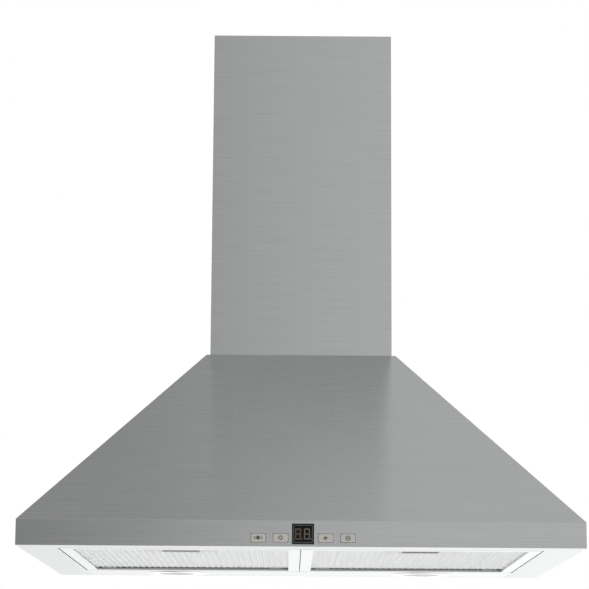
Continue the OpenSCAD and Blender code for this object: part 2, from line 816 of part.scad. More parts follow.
module collar_flange() {
    color("#2c2f32") difference() {
        translate([0, -duct_y, collar_z]) cylinder(r = collar_flange_r, h = collar_flange_t);
        translate([0, -duct_y, collar_z - 1]) cylinder(r = duct_r - duct_wall, h = collar_flange_t + 2);
        blower_screw_places() cylinder(r = screw_hole_r, h = 60, center = true);
    }
}

module outlet_collar() {
    color("#2c2f32") difference() {
        union() {
            translate([0, -duct_y, collar_z + collar_foot]) difference() {
                cylinder(r = duct_r, h = collar_h - collar_foot);
                translate([0, 0, -1]) cylinder(r = duct_r - duct_wall, h = collar_h + 2);
            }
            translate([0, -duct_y, damper_z - damper_t / 2 - seat_gap - seat_t]) difference() {
                cylinder(r = duct_r - duct_wall + tiny, h = seat_t);
                translate([0, 0, -1]) cylinder(r = damper_r - 2, h = seat_t + 2);
            }
        }
        along_x(-duct_r + 0.6, -duct_y, damper_z) cylinder(r = rod_r + touch, h = 2 * duct_r - 1.2);
    }
}

module damper_rod() {
    color("silver") along_x(-duct_r + 0.8, -duct_y, damper_z) cylinder(r = rod_r, h = 2 * duct_r - 1.6);
}

// Half-round flap on the side s of the rod, with two knuckles
module damper_flap(s) {
    starts = s < 0 ? [-2, 0] : [-1, 1];
    color("#43474b") difference() {
        union() {
            translate([0, -duct_y, damper_z - damper_t / 2]) difference() {
                cylinder(r = damper_r, h = damper_t);
                block([-duct_r, s < 0 ? -knuckle_r - 0.5 : -duct_r, -1],
                      [duct_r, s < 0 ? duct_r : knuckle_r + 0.5, damper_t + 1]);
            }
            for (k = starts) {
                along_x(k * knuckle_len + 0.3, -duct_y, damper_z)
                    cylinder(r = knuckle_r, h = knuckle_len - 0.6);
                block([k * knuckle_len + 0.3, -duct_y + (s < 0 ? -knuckle_r - 1 : 1),
                       damper_z - damper_t / 2],
                      [(k + 1) * knuckle_len - 0.3, -duct_y + (s < 0 ? -1 : knuckle_r + 1),
                       damper_z + damper_t / 2]);
            }
        }
        along_x(-duct_r, -duct_y, damper_z) cylinder(r = rod_r + pin_clear, h = 2 * duct_r);
    }
}

// One forward-curved blade, as a closed strip of points
function blade_points(turn) = let (t = 1.0, n = 4) concat(
    [for (k = [0:n])
        let (r = blade_in_r + (fan_d / 2 - 0.6 - blade_in_r) * k / n, a = turn + blade_sweep * pow(k / n, 2))
        [r * cos(a), r * sin(a)]],
    [for (k = [n:-1:0])
        let (r = blade_in_r + (fan_d / 2 - 0.6 - blade_in_r) * k / n,
             a = turn + blade_sweep * pow(k / n, 2) + t / r * 180 / PI)
        [r * cos(a), r * sin(a)]]
);

module impeller() {
    color("#54585c") along_x(0, -blower_y, blower_z) {
        difference() {
            union() {
                cylinder(r = fan_d / 2 - 2, h = 1.6, center = true);
                cylinder(r = 11, h = 15);
                for (k = [0:fan_blades - 1])
                    translate([0, 0, -wheel_half]) linear_extrude(2 * wheel_half)
                        polygon(blade_points(k * 360 / fan_blades));
                for (e = [-1, 1]) translate([0, 0, e * (wheel_half - 1)]) difference() {
                    cylinder(r = fan_d / 2, h = 2, center = true);
                    cylinder(r = fan_d / 2 - 3, h = 4, center = true);
                }
            }
            cylinder(r = shaft_r + touch, h = 60, center = true);
        }
    }
}

module motor_can() {
    r = motor_d / 2;
    near = motor_near;
    far = motor_far;
    color("#7d8184") along_x(0, -blower_y, blower_z) difference() {
        translate([0, 0, near]) cylinder(r = r, h = far - near);
        translate([0, 0, near + 9]) cylinder(r = r - 2, h = far - near - 18);
        for (z = [near - 1, far - bearing_w - 1])
            translate([0, 0, z]) cylinder(r = bearing_r + touch, h = bearing_w + 2);
        translate([0, 0, near - 1]) cylinder(r = shaft_r + 2, h = far - near + 2);
    }
}

module motor_stator() {
    near = motor_near;
    color("#a8693a") along_x(0, -blower_y, blower_z) difference() {
        translate([0, 0, near + 12]) cylinder(r = motor_d / 2 - 2.2, h = motor_far - near - 24);
        translate([0, 0, near + 11]) cylinder(r = motor_d / 4 + 0.6, h = 60);
        for (k = [0:11]) rotate(k * 30) translate([motor_d / 4, -1.4, near + 11]) cube([11, 2.8, 60]);
    }
}

module motor_bearings() {
    near = motor_near;
    color("silver") along_x(0, -blower_y, blower_z)
        for (z = [near + 1, motor_far - bearing_w]) translate([0, 0, z]) difference() {
            cylinder(r = bearing_r, h = bearing_w - touch);
            translate([0, 0, -1]) cylinder(r = shaft_r + pin_clear, h = bearing_w + 2);
        }
}

module rotor_shaft() {
    near = motor_near;
    color("#8f9396") along_x(0, -blower_y, blower_z) {
        translate([0, 0, near + 0.5]) cylinder(r = shaft_r, h = 17 - near);
        translate([0, 0, near + 13]) cylinder(r = motor_d / 4, h = motor_far - near - 26);
    }
}

module motor_arm_places() {
    for (k = [0:2])
        along_x(-scroll_w / 2, -blower_y, blower_z) rotate(k * 120 + 60)
            translate([inlet_r + 10, 0, 0]) children();
}

module motor_bracket() {
    x = -scroll_w / 2 - bracket_off - bracket_plate;
    arm_r = inlet_r + 10;
    color("#8a8e90") along_x(x, -blower_y, blower_z) difference() {
        union() {
            cylinder(r = 26, h = bracket_plate);
            for (k = [0:2]) rotate(k * 120 + 60) {
                translate([22, -6, 0]) cube([arm_r - 22, 12, bracket_plate]);
                translate([arm_r, 0, 0]) cylinder(r = 7.5, h = bracket_plate);
            }
        }
        translate([0, 0, -1]) cylinder(r = shaft_r + 3, h = 5);
        for (k = [0:2])
            rotate(k * 120 + 60) translate([arm_r, 0, -1]) cylinder(r = screw_hole_r, h = 5);
    }
}

module motor_grommets() {
    color("#232527") motor_arm_places() translate([0, 0, -bracket_off]) difference() {
        cylinder(r = grommet_r, h = bracket_off - touch);
        translate([0, 0, -1]) cylinder(r = screw_hole_r, h = 6);
    }
}

// ---------- wiring boxes on the back plate ----------

module terminal_box() {
    color("#e4e4df") difference() {
        block([box_x, -box_depth, box_low], [box_x + box_w, -sheet - touch, box_high]);
        block([box_x + box_wall, -box_depth - 1, box_low + box_wall],
              [box_x + box_w - box_wall, -sheet - box_wall, box_high - box_wall]);
        translate([gland_x, -gland_y, box_high - 8]) cylinder(r = gland_r + 0.2, h = 20);
    }
}

module terminal_lid() {
    low = box_low + box_wall + 0.3;
    high = box_high - box_wall - 0.3;
    left = box_x + box_wall + 0.3;
    right = box_x + box_w - box_wall - 0.3;
    color("#d5d5d0") union() {
        block([box_x, -box_depth - lid_t, box_low], [box_x + box_w, -box_depth - touch, box_high]);
        block([left, -box_depth - lid_t, low], [right, -box_depth + 3, low + 2.7]);
        block([left, -box_depth - lid_t, high - 2.7], [right, -box_depth + 3, high]);
    }
}

module cable_gland() {
    color("#2b2d2f") translate([gland_x, -gland_y, box_high + touch]) difference() {
        union() {
            cylinder(r = 1.5 * gland_r, h = 4, $fn = 6);
            translate([0, 0, -5]) cylinder(r = gland_r, h = 6);
            translate([0, 0, 4 - tiny]) cylinder(r = gland_r + 1.5, h = 8);
        }
        translate([0, 0, -6]) cylinder(r = 0.6 * gland_r, h = 20);
    }
}

module capacitor() {
    color("#f0efe9") union() {
        translate([capacitor_x, -sheet - capacitor_r - 1.5 - touch, box_low]) {
            cylinder(r = capacitor_r, h = capacitor_h);
            translate([0, 0, -5]) cylinder(r = capacitor_r / 4, h = 6);
        }
        block([capacitor_x - 5, -sheet - 6, box_low + 18], [capacitor_x + 5, -sheet - touch, box_low + 34]);
    }
}

// ---------- chimney ----------

module lower_chimney() {
    color("#abafaf") difference() {
        u_cover(chimney_w, chimney_d, 0, roof_z, lower_chimney_h);
        along_x(-chimney_w, -bracket_screw_y, lower_bracket_z + bracket_h / 2)
            cylinder(r = screw_hole_r, h = 2 * chimney_w);
    }
}

module lower_chimney_bracket() {
    color("#8d9193") wall_bracket(chimney_w / 2 - sheet - touch, lower_bracket_z);
}

module lower_chimney_screws() {
    color("silver") for (s = [-1, 1]) scale_x(s)
        translate([chimney_w / 2 + touch, -bracket_screw_y, lower_bracket_z + bracket_h / 2])
            rotate([0, 90, 0]) screw(8);
}

module upper_chimney() {
    color("#a7abab") difference() {
        u_cover(upper_w, upper_front, upper_rear, upper_foot, upper_chimney_h);
        for (k = [0:vent_slots - 1])
            block([-upper_w, -bracket_screw_y - 40 - k * vent_pitch - vent_slot_w / 2, upper_top - 45],
                  [upper_w, -bracket_screw_y - 40 - k * vent_pitch + vent_slot_w / 2,
                   upper_top - 45 + vent_slot_h]);
        along_x(-upper_w, -bracket_screw_y, upper_bracket_z + bracket_h / 2)
            cylinder(r = screw_hole_r, h = 2 * upper_w);
        pad_places() cylinder(r = 2.5 + touch, h = 10, center = true);
    }
}

// Middle of each glide pad on the outer faces of the upper cover
module pad_places() {
    for (s = [-1, 1]) {
        for (y = [60, upper_front - 50])
            translate([s * upper_w / 2, -y, upper_foot + 14]) rotate([0, s * 90, 0]) children();
        translate([s * upper_w / 4, -upper_front, upper_foot + 14]) rotate([90, 0, 0]) children();
    }
}

module glide_pads() {
    color("#efefec") pad_places() {
        translate([0, 0, touch]) cylinder(r = pad_r, h = pad_t - touch);
        translate([0, 0, -sheet - 0.6]) cylinder(r = 2.5, h = sheet + 1);
    }
}

module ceiling_bracket() {
    color("#8d9193") wall_bracket(upper_w / 2 - sheet - touch, upper_bracket_z);
}

module ceiling_bracket_rivets() {
    color("silver") for (s = [-1, 1]) scale_x(s)
        translate([upper_w / 2 - touch, -bracket_screw_y, upper_bracket_z + bracket_h / 2])
            rotate([0, -90, 0]) {
                cylinder(r = screw_r, h = sheet + bracket_t + 1);
                translate([0, 0, sheet + bracket_t + 0.1]) cylinder(r = head_r, h = 1.4);
            }
}

canopy_shell();
back_plate();
back_plate_rivets();
lamp_panel();
lamp_panel_nuts();
filter_rail();
lower_chimney();
lower_chimney_bracket();
lower_chimney_screws();
top_plate();
collar_flange();
outlet_collar();
blower_screws();
damper_rod();
scroll_half(-1);  // scroll_left
scroll_half(1);  // scroll_right
motor_can();
motor_stator();
motor_bearings();
motor_bracket();
motor_grommets();
lamp_ring(-1);  // lamp_ring_left
lamp_ring(1);  // lamp_ring_right
lamp_lens(-1);  // lamp_lens_left
lamp_lens(1);  // lamp_lens_right
lamp_cans();
lamp_bulbs();
display_bezel();
display_window();
display_module();
display_digits();
control_board();
key_switches();
control_carrier();
terminal_box();
terminal_lid();
cable_gland();
capacitor();
upper_chimney();
glide_pads();
ceiling_bracket();
ceiling_bracket_rivets();
damper_flap(-1);  // damper_front
damper_flap(1);  // damper_rear
impeller();
rotor_shaft();
filter_frame(-filter_cx);  // filter_left_frame
filter_media(-filter_cx);  // filter_left_media
filter_grille(-filter_cx);  // filter_left_grille
latch_housing(-filter_cx);  // latch_housing_left
filter_frame(filter_cx);  // filter_right_frame
filter_media(filter_cx);  // filter_right_media
filter_grille(filter_cx);  // filter_right_grille
latch_housing(filter_cx);  // latch_housing_right
latch_bolt(-filter_cx);  // latch_bolt_left
latch_bolt(filter_cx);  // latch_bolt_right
key_cap(-2);  // light_key
key_cap(-1);  // down_key
key_cap(1);  // fan_key
key_cap(2);  // power_key
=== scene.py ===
import math

import bmesh
import bpy
from mathutils import Matrix, Vector


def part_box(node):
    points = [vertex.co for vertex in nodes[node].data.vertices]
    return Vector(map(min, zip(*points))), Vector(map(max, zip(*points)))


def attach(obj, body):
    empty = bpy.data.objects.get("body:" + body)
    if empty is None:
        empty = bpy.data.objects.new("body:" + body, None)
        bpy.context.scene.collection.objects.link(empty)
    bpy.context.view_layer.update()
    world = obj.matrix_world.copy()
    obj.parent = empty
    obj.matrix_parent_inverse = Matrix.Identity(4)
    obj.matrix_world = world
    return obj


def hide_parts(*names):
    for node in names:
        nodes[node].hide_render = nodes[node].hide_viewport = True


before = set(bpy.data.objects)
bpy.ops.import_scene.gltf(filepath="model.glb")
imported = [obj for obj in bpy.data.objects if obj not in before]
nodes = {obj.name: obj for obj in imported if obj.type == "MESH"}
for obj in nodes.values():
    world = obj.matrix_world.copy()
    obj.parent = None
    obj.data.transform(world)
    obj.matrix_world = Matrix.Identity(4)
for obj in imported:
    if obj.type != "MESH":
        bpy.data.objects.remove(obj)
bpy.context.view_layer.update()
MM = 0.001


# ---------- camera ----------

CAMERA_PLACE = Vector((-11.68, -2829.83, -181.02)) * MM
CAMERA_TURN = math.radians(0.0766)
CAMERA_RISE = math.radians(10.847)
CAMERA_ROLL = math.radians(0.3675)
SENSOR = 36.0
LENS = 136.49


def make_camera():
    """A long lens below the canopy, looking up at the band and the underside."""
    ahead = Vector((
        math.sin(CAMERA_TURN) * math.cos(CAMERA_RISE),
        math.cos(CAMERA_TURN) * math.cos(CAMERA_RISE),
        math.sin(CAMERA_RISE),
    ))
    level = Vector((math.cos(CAMERA_TURN), -math.sin(CAMERA_TURN), 0))
    upright = level.cross(ahead)
    right = level * math.cos(CAMERA_ROLL) + upright * math.sin(CAMERA_ROLL)
    up = upright * math.cos(CAMERA_ROLL) - level * math.sin(CAMERA_ROLL)
    data = bpy.data.cameras.new("camera")
    data.sensor_width = SENSOR
    data.lens = LENS
    data.clip_end = 50
    camera = bpy.data.objects.new("camera", data)
    turned = Matrix((right, up, -ahead)).transposed().to_4x4()
    camera.matrix_world = Matrix.Translation(CAMERA_PLACE) @ turned
    bpy.context.scene.collection.objects.link(camera)
    bpy.context.scene.camera = camera


# ---------- materials ----------

def linear(code):
    """An sRGB hex colour as linear red, green, blue and alpha."""
    parts = [int(code[k:k + 2], 16) / 255 for k in (1, 3, 5)]
    return [c / 12.92 if c <= 0.04045 else ((c + 0.055) / 1.055) ** 2.4 for c in parts] + [1.0]


def add(tree, kind, settings=None, links=None):
    """Adds a node. Settings name its own properties or its inputs, and links join sockets to its inputs."""
    made = tree.nodes.new(kind)
    for name, value in (settings or {}).items():
        if isinstance(name, str) and hasattr(made, name):
            setattr(made, name, value)
        else:
            made.inputs[name].default_value = value
    for name, socket in (links or {}).items():
        tree.links.new(socket, made.inputs[name])
    return made


def start_finish(name, settings):
    """A new material with its shader set, and the tree's places to work from."""
    material = bpy.data.materials.new(name)
    material.use_nodes = True
    tree = material.node_tree
    tree.nodes.clear()
    shader = add(tree, "ShaderNodeBsdfPrincipled", settings)
    add(tree, "ShaderNodeOutputMaterial", links={"Surface": shader.outputs[0]})
    place = add(tree, "ShaderNodeTexCoord")
    return material, tree, shader, place


# A noise spends nearly all of itself between these two values.
NOISE_LOW, NOISE_HIGH = 0.3, 0.7
MOTTLE_DETAIL = 3.0


def two_shades(tree, noise, dark, light):
    """A noise turned into a colour between a dark and a light shade."""
    ramp = add(tree, "ShaderNodeValToRGB", links={"Fac": noise})
    for stop, place, code in zip(ramp.color_ramp.elements, (NOISE_LOW, NOISE_HIGH), (dark, light)):
        stop.position = place
        stop.color = linear(code)
    return ramp.outputs[0]


def mottle(tree, place, grain_mm, dark, light, stretch=(1, 1, 1)):
    """Two shades mixed by a noise whose spots are grain_mm wide. Returns the colour and the noise."""
    spread = add(tree, "ShaderNodeMapping", {"Scale": stretch}, {"Vector": place.outputs["Object"]})
    noise = add(tree, "ShaderNodeTexNoise", {"Scale": 1 / (grain_mm * MM), "Detail": MOTTLE_DETAIL},
                {"Vector": spread.outputs[0]})
    return two_shades(tree, noise.outputs[0], dark, light), noise.outputs[0]


def vary(tree, source, low, high):
    """A noise turned into a value between low and high."""
    return add(tree, "ShaderNodeMapRange",
               {"From Min": NOISE_LOW, "From Max": NOISE_HIGH, "To Min": low, "To Max": high},
               {"Value": source}).outputs[0]


def relief(tree, shader, source, depth_mm, strength):
    """Bump whose full height is depth_mm."""
    bump = add(tree, "ShaderNodeBump", {"Strength": strength, "Distance": depth_mm * MM},
               {"Height": source})
    tree.links.new(bump.outputs[0], shader.inputs["Normal"])


def moulded(name, dark, light, roughness, grain_mm=1.2, settings=None):
    """Injection-moulded plastic: a spark-eroded mould leaves a fine even grain that breaks up the shine."""
    material, tree, shader, place = start_finish(name, {"IOR": 1.5, **(settings or {})})
    colour, noise = mottle(tree, place, grain_mm, dark, light)
    tree.links.new(colour, shader.inputs["Base Color"])
    tree.links.new(vary(tree, noise, roughness - 0.06, roughness + 0.06), shader.inputs["Roughness"])
    relief(tree, shader, noise, 0.03, 0.25)
    return material


def metal(name, dark, light, roughness, grain_mm=2.0, stretch=(1, 1, 1), depth_mm=0.01):
    """Bare metal: two close shades and a shine that changes with them, as handling and plating leave it."""
    material, tree, shader, place = start_finish(name, {"Metallic": 1.0})
    colour, noise = mottle(tree, place, grain_mm, dark, light, stretch=stretch)
    tree.links.new(colour, shader.inputs["Base Color"])
    tree.links.new(vary(tree, noise, roughness - 0.05, roughness + 0.07), shader.inputs["Roughness"])
    relief(tree, shader, noise, depth_mm, 0.2)
    return material


# Belt-brushed 430 stainless steel: scratches run level round the hood. A real scratch is under
# 0.1 mm wide, too fine to show, so the streaks are drawn wider and long enough to read as grain.
FINE_STREAK = (0.8, 70.0)
BROAD_STREAK = (2.6, 600.0)
BROAD_SHARE = 0.3
SCRATCH_DEPTH = 0.004
SCRATCH_STRENGTH = 0.05
# A nudge that still gives level faces, such as the bottom lips, a direction to be brushed in.
LEVEL_NUDGE = (-0.02, 0, 0)


def streaks(tree, lengthwise, crosswise, size):
    """A noise drawn out along the brushing, from the width and length of one streak in mm."""
    wide, long = size
    scaled = [add(tree, "ShaderNodeMath", {"operation": "MULTIPLY", 1: 1 / (size_mm * MM)}, {0: run})
              for run, size_mm in ((lengthwise, long), (crosswise, wide))]
    grain = add(tree, "ShaderNodeCombineXYZ", links={0: scaled[0].outputs[0], 1: scaled[1].outputs[0]})
    return add(tree, "ShaderNodeTexNoise", {"Scale": 1.0, "Detail": 1.5, "Roughness": 0.5},
               {"Vector": grain.outputs[0]}).outputs[0]


def brushed_stainless(name, dark, light, low_shine, high_shine, smear):
    """Satin steel that smears reflections across its scratches and keeps them sharp along them."""
    material, tree, shader, place = start_finish(name, {
        "Metallic": 1.0, "Anisotropic": smear, "Anisotropic Rotation": 0.25,
    })
    across_up = add(tree, "ShaderNodeVectorMath", {"operation": "CROSS_PRODUCT", 1: (0, 0, 1)},
                    {0: place.outputs["Normal"]})
    level = add(tree, "ShaderNodeVectorMath", {"operation": "ADD", 1: LEVEL_NUDGE},
                {0: across_up.outputs[0]})
    along = add(tree, "ShaderNodeVectorMath", {"operation": "NORMALIZE"}, {0: level.outputs[0]})
    tree.links.new(along.outputs[0], shader.inputs["Tangent"])
    across = add(tree, "ShaderNodeVectorMath", {"operation": "CROSS_PRODUCT"},
                 {0: place.outputs["Normal"], 1: along.outputs[0]})
    lengthwise = add(tree, "ShaderNodeVectorMath", {"operation": "DOT_PRODUCT"},
                     {0: place.outputs["Object"], 1: along.outputs[0]})
    crosswise = add(tree, "ShaderNodeVectorMath", {"operation": "DOT_PRODUCT"},
                    {0: place.outputs["Object"], 1: across.outputs[0]})
    fine, broad = [streaks(tree, lengthwise.outputs["Value"], crosswise.outputs["Value"], size)
                   for size in (FINE_STREAK, BROAD_STREAK)]
    both = add(tree, "ShaderNodeMix", {"Factor": BROAD_SHARE}, {"A": fine, "B": broad}).outputs[0]
    tree.links.new(two_shades(tree, both, dark, light), shader.inputs["Base Color"])
    tree.links.new(vary(tree, both, low_shine, high_shine), shader.inputs["Roughness"])
    relief(tree, shader, fine, SCRATCH_DEPTH, SCRATCH_STRENGTH)
    return material


# The real diamonds are about 3.4 mm by 2 mm. A strand's edge fades over this share of its width.
DIAMOND_LONG = 3.4
DIAMOND_SHAPE = 1.7
STRAND_FADE = 0.15


def expanded_mesh(name, dark, light, roughness, strand_mm, phase=0.0):
    """Slit and stretched aluminium foil: diamond holes that let the layers behind show."""
    material, tree, shader, place = start_finish(name, {"Metallic": 1.0})
    colour, noise = mottle(tree, place, 2.0, dark, light)
    tree.links.new(colour, shader.inputs["Base Color"])
    tree.links.new(vary(tree, noise, roughness - 0.05, roughness + 0.07), shader.inputs["Roughness"])
    parts = add(tree, "ShaderNodeSeparateXYZ", links={0: place.outputs["Object"]})
    waves = []
    for sign in (1, -1):
        slant = add(tree, "ShaderNodeMath", {"operation": "MULTIPLY_ADD", 1: sign * DIAMOND_SHAPE},
                    {0: parts.outputs[0], 2: parts.outputs[1]})
        turns = add(tree, "ShaderNodeMath",
                    {"operation": "MULTIPLY_ADD", 1: math.pi / (DIAMOND_LONG * MM), 2: phase},
                    {0: slant.outputs[0]})
        wave = add(tree, "ShaderNodeMath", {"operation": "SINE"}, {0: turns.outputs[0]})
        waves.append(add(tree, "ShaderNodeMath", {"operation": "ABSOLUTE"}, {0: wave.outputs[0]}))
    least = add(tree, "ShaderNodeMath", {"operation": "MINIMUM"},
                {0: waves[0].outputs[0], 1: waves[1].outputs[0]})
    edge = math.sin(math.pi * strand_mm / DIAMOND_LONG)
    strand = add(tree, "ShaderNodeMapRange",
                 {"From Min": edge * (1 + STRAND_FADE), "From Max": edge * (1 - STRAND_FADE)},
                 {"Value": least.outputs[0]})
    tree.links.new(strand.outputs[0], shader.inputs["Alpha"])
    relief(tree, shader, least.outputs[0], -0.3, 0.4)
    return material


LENS_RING_SPACING = 2.2


def ribbed_glass(name, dark, light):
    """Pressed lamp glass: frosted inside, with fine rings round each lamp's axis that soften the bulb."""
    material, tree, shader, place = start_finish(name, {"IOR": 1.5, "Transmission Weight": 0.35})
    colour, noise = mottle(tree, place, 3.0, dark, light)
    tree.links.new(colour, shader.inputs["Base Color"])
    tree.links.new(vary(tree, noise, 0.32, 0.45), shader.inputs["Roughness"])
    parts = add(tree, "ShaderNodeSeparateXYZ", links={0: place.outputs["Object"]})
    aside = add(tree, "ShaderNodeMath", {"operation": "ABSOLUTE"}, {0: parts.outputs[0]})
    centre = (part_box("lamp_lens_right")[0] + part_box("lamp_lens_right")[1]) / 2
    flat = add(tree, "ShaderNodeCombineXYZ", links={0: aside.outputs[0], 1: parts.outputs[1]})
    far = add(tree, "ShaderNodeVectorMath", {"operation": "DISTANCE", 1: (centre.x, centre.y, 0)},
              {0: flat.outputs[0]})
    ring_rate = 2 * math.pi / (LENS_RING_SPACING * MM)
    rings = add(tree, "ShaderNodeMath", {"operation": "MULTIPLY", 1: ring_rate},
                {0: far.outputs["Value"]})
    wave = add(tree, "ShaderNodeMath", {"operation": "SINE"}, {0: rings.outputs[0]})
    relief(tree, shader, wave.outputs[0], 0.12, 0.5)
    return material


def led_segment(name, left, right):
    """Unlit light-emitting segments: beige epoxy, a little redder in the left digit."""
    material, tree, shader, place = start_finish(name, {"IOR": 1.5})
    middle = (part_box("display_digits")[0].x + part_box("display_digits")[1].x) / 2
    parts = add(tree, "ShaderNodeSeparateXYZ", links={0: place.outputs["Object"]})
    side = add(tree, "ShaderNodeMapRange", {"From Min": middle - MM, "From Max": middle + MM},
               {"Value": parts.outputs[0]})
    reddish, noise = mottle(tree, place, 0.6, left[0], left[1])
    beige = mottle(tree, place, 0.6, right[0], right[1])[0]
    mixed = add(tree, "ShaderNodeMixRGB", links={0: side.outputs[0], 1: reddish, 2: beige})
    tree.links.new(mixed.outputs[0], shader.inputs["Base Color"])
    tree.links.new(vary(tree, noise, 0.35, 0.5), shader.inputs["Roughness"])
    return material


def make_finishes():
    """Every finish of the hood, by name."""
    made = {}
    # Level belt brushing: sharp from side to side, drawn out up and down, with a fine grain.
    made["steel"] = brushed_stainless("brushed_stainless_430", "#cacccc", "#d8d9d9", 0.25, 0.285, 0.93)
    # The same sheet less evenly brushed and painted lighter than the canopy steel, so the lamp panel glows
    # softly: the lighter colour is painted light.
    made["under_steel_painted_light"] = brushed_stainless("brushed_stainless_underside_painted_light", "#dcdddd", "#e9eaea",
                                            0.3, 0.4, 0.5)
    # Hot-dip galvanised sheet: large dull grey spangles.
    made["zinc"] = metal("galvanised_sheet", "#8f979b", "#b3babd", 0.42, grain_mm=9, depth_mm=0.02)
    # Drawn and anodised section: an even pale satin with faint lines along it.
    made["aluminium"] = metal("anodised_aluminium_satin", "#dcdedf", "#e9eaeb", 0.36, grain_mm=1.5,
                              stretch=(0.05, 1, 1))
    # Bright open strands that catch the light, with dark holes between them.
    made["face_mesh"] = expanded_mesh("expanded_aluminium_face", "#e8e9ea", "#f4f5f5", 0.42, 0.8)
    # The same foil out of step and painted darker as shade between the layers, which gives the filter its
    # depth.
    made["inner_mesh_painted_shade"] = expanded_mesh("expanded_aluminium_inner_painted_shade", "#d2d5d6", "#e4e6e7", 0.4, 0.6,
                                       phase=0.9)
    # Zinc plating: small hard highlights on rivets, screws and pins.
    made["bright"] = metal("zinc_plated_steel", "#c9cacb", "#dcdddd", 0.24, grain_mm=1.0)
    # Satin chrome: a clean bright ring round each lamp.
    made["chrome_ring"] = metal("satin_chrome_ring", "#dfe1e2", "#ecedee", 0.2, grain_mm=3.0)
    # Varnished windings: a warm brown gloss.
    made["copper"] = metal("varnished_copper_winding", "#8a4a25", "#b5703f", 0.35, grain_mm=1.0)
    # Stoved enamel: dark grey with a low sheen.
    made["motor_paint"] = moulded("motor_stove_enamel", "#4c5154", "#5a5f62", 0.42)
    # Rubber: nearly black and dull.
    made["rubber"] = moulded("epdm_rubber", "#1a1b1c", "#232425", 0.75)
    # Spark-grained moulding: soft broken highlights.
    made["black_plastic"] = moulded("abs_black_grained", "#16181a", "#1f2123", 0.42)
    # Warm grey latch bolts that show in the finger slots.
    made["grey_plastic"] = moulded("polyamide_latch_grey", "#c6c0b6", "#d4cec4", 0.45)
    # A dark wheel seen through the inlet.
    made["fan_plastic"] = moulded("polyamide_fan_grey", "#3c4145", "#494e52", 0.5)
    # White mouldings: pale and slightly grained.
    made["white_plastic"] = moulded("abs_white_grained", "#e4e4e1", "#efefec", 0.4)
    # Unfilled nylon: a milky white.
    made["nylon"] = moulded("nylon_natural", "#e2e1da", "#efeee8", 0.4)
    # Cream key faces with a satin shine.
    made["key"] = moulded("abs_key_cream_satin", "#f4eee2", "#faf6ec", 0.3, grain_mm=0.8)
    # The rounded key edge, painted whiter than the face as a highlight.
    made["key_rim_painted_highlight"] = moulded("abs_key_edge_painted_highlight", "#f4f4f1", "#fbfbf9", 0.2, grain_mm=0.8)
    # Pad-printed signs: flat and nearly black.
    made["ink"] = moulded("pad_printed_ink", "#141c19", "#202a26", 0.5, grain_mm=0.5)
    # Unlit segments: beige, the left digit redder.
    made["digit"] = led_segment("unlit_led_segment", ("#cfa58f", "#dcb39d"), ("#d6cbb8", "#e2d8c6"))
    # Green solder mask with a low gloss.
    made["board"] = moulded("solder_mask_green", "#1e4a30", "#27593a", 0.3)
    # Smoked acrylic: dark and glossy, with the digits showing through.
    made["window"] = moulded("smoked_acrylic", "#0b0d0e", "#101314", 0.08,
                             settings={"Alpha": 0.22, "IOR": 1.49})
    # The black field that the digits stand out from.
    made["dark_field"] = moulded("display_potting_black", "#050606", "#0a0b0b", 0.7,
                                 settings={"Specular IOR Level": 0.2})
    # A thin grey printed line inside the dark frame.
    made["frame_line"] = moulded("display_frame_print_grey", "#8d9b99", "#a3b0ae", 0.35, grain_mm=0.6)
    # Frosted glass whose fine rings soften the bulb.
    made["lens"] = ribbed_glass("pressed_lamp_glass", "#f0f2f2", "#f8f9f9")
    # Opal glass behind the lens.
    made["bulb"] = moulded("opal_bulb_glass", "#efece0", "#f7f4ea", 0.3,
                           settings={"Transmission Weight": 0.4, "IOR": 1.5})
    # Polished black frame: a crisp dark edge.
    made["dark_bezel"] = moulded("abs_black_gloss", "#07090a", "#0d0f10", 0.25)
    return made


make_camera()
finishes = make_finishes()

NODE_FINISH = {
    "steel": ("canopy_shell", "lower_chimney", "upper_chimney"),
    "under_steel_painted_light": ("lamp_panel",),
    "zinc": ("back_plate", "filter_rail", "lower_chimney_bracket", "ceiling_bracket", "top_plate",
             "scroll_left", "scroll_right", "motor_bracket", "lamp_cans"),
    "bright": ("back_plate_rivets", "lamp_panel_nuts", "damper_rod", "motor_bearings",
               "ceiling_bracket_rivets", "rotor_shaft", "lower_chimney_screws", "blower_screws"),
    "chrome_ring": ("lamp_ring_left", "lamp_ring_right"),
    "aluminium": ("filter_left_frame", "filter_right_frame"),
    "inner_mesh_painted_shade": ("filter_left_media", "filter_right_media"),
    "face_mesh": ("filter_left_grille", "filter_right_grille"),
    "copper": ("motor_stator",),
    "motor_paint": ("motor_can",),
    "rubber": ("motor_grommets",),
    "black_plastic": ("collar_flange", "outlet_collar", "damper_front", "damper_rear", "cable_gland",
                      "key_switches"),
    "dark_field": ("display_module",),
    "grey_plastic": ("latch_bolt_left", "latch_bolt_right"),
    "fan_plastic": ("impeller",),
    "white_plastic": ("control_carrier", "terminal_box", "terminal_lid", "capacitor",
                      "latch_housing_left", "latch_housing_right"),
    "nylon": ("glide_pads",),
    "key": ("light_key", "down_key", "fan_key", "power_key"),
    "digit": ("display_digits",),
    "board": ("control_board",),
    "window": ("display_window",),
    "lens": ("lamp_lens_left", "lamp_lens_right"),
    "bulb": ("lamp_bulbs",),
    "dark_bezel": ("display_bezel",),
}


def dress(piece, *names):
    """Gives a piece these finishes in place of any it had."""
    piece.data.materials.clear()
    for name in names:
        piece.data.materials.append(finishes[name])


for finish_name, names in NODE_FINISH.items():
    for node_name in names:
        dress(nodes[node_name], finish_name)


# ---------- rounded edges ----------

ROUND_STEPS = 2
SHARP_ANGLE = math.radians(30)
WELD_REACH = 0.01
FLAT_FACE_WEIGHT = 100


